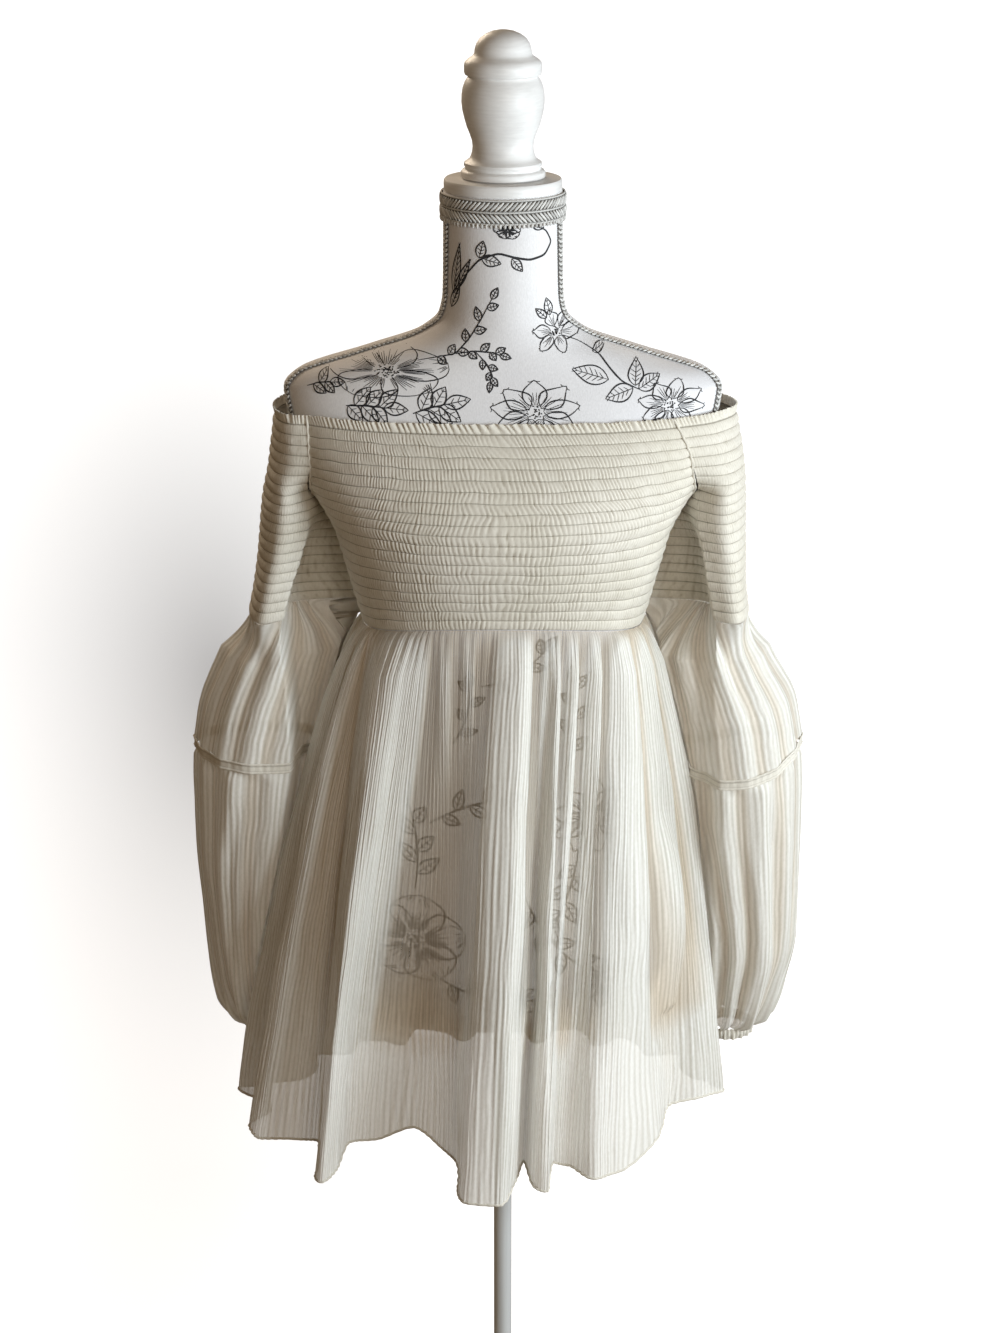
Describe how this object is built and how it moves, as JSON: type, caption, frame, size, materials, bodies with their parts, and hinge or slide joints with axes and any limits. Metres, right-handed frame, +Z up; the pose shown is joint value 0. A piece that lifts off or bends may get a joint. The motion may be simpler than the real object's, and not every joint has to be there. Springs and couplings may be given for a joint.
{
  "type": "off-shoulder top on a dress form",
  "caption": "Off-shoulder top with smocked bodice and sleeves, sheer gathered skirt and balloon sleeves, standing on a covered dress form with a turned finial, pole and round base.",
  "frame": {"origin": "centre of the base's underside", "axes": "+Z up along the pole, -Y towards the front of the top, -X to the viewer's left"},
  "size_m": [0.582, 0.3913, 1.4297],
  "materials": {
    "smocked_cloth": "matt shirred cotton",
    "sheer_cloth": "sheer crinkled cloth",
    "cover_cloth": "pale printed cover cloth",
    "braid": "woven braid",
    "white_paint": "white satin paint",
    "pole_steel": "dark satin",
    "base_paint": "satin"
  },
  "bodies": {
    "root": {"bodice_front": "smocked_cloth", "bodice_back": "smocked_cloth", "sleeve_upper_left": "smocked_cloth", "sleeve_upper_right": "smocked_cloth", "sleeve_tier_left": "sheer_cloth", "sleeve_tier_right": "sheer_cloth", "sleeve_band_left": "smocked_cloth", "sleeve_band_right": "smocked_cloth", "sleeve_balloon_left": "sheer_cloth", "sleeve_balloon_right": "sheer_cloth", "cuff_left": "smocked_cloth", "cuff_right": "smocked_cloth", "skirt_front": "sheer_cloth", "skirt_back": "sheer_cloth", "form_torso": "cover_cloth", "neck_braid": "braid", "seam_braid_left": "braid", "seam_braid_right": "braid", "neck_cap": "white_paint", "finial": "white_paint", "pole": "pole_steel", "base": "base_paint"}
  },
  "joints": []
}
